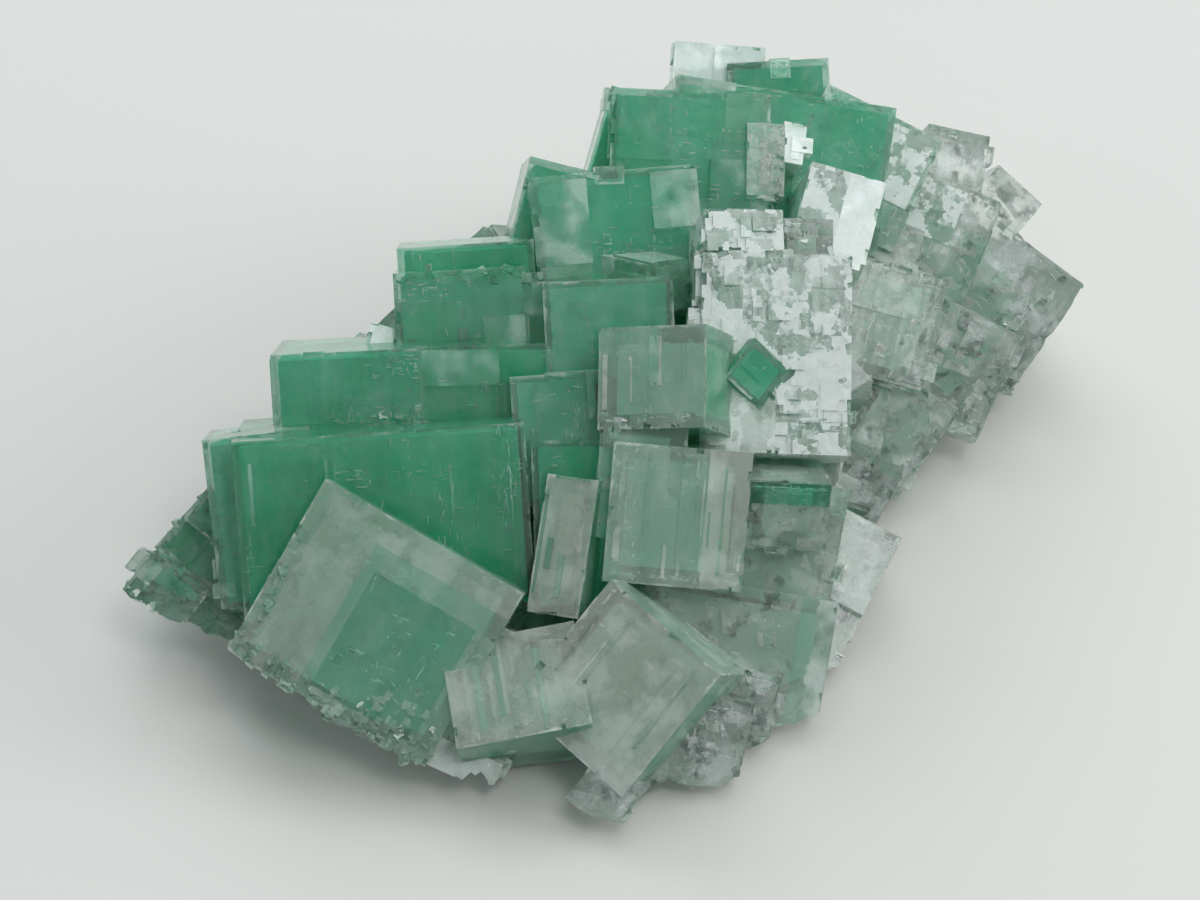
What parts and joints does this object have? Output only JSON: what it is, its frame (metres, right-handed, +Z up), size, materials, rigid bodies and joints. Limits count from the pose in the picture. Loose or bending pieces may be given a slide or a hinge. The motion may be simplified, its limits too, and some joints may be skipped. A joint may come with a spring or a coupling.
{
  "type": "green fluorite cubic crystal cluster",
  "caption": "Hand-sized cluster of intergrown cubic fluorite crystals, green fading to colourless, lying on its broken underside.",
  "frame": {"origin": "middle of the cluster's footprint, on the table it lies on", "axes": "+X right and +Y away as seen by someone facing the crystal-covered front slope, +Z up"},
  "size_m": [0.1018, 0.0958, 0.037],
  "materials": {
    "fluorite": "Clear to milky natural crystal, emerald green in zones and colourless at the right, with a soft frosted lustre and glossy breaks."
  },
  "bodies": {
    "root": {"crystal_cluster": "fluorite"}
  },
  "joints": []
}
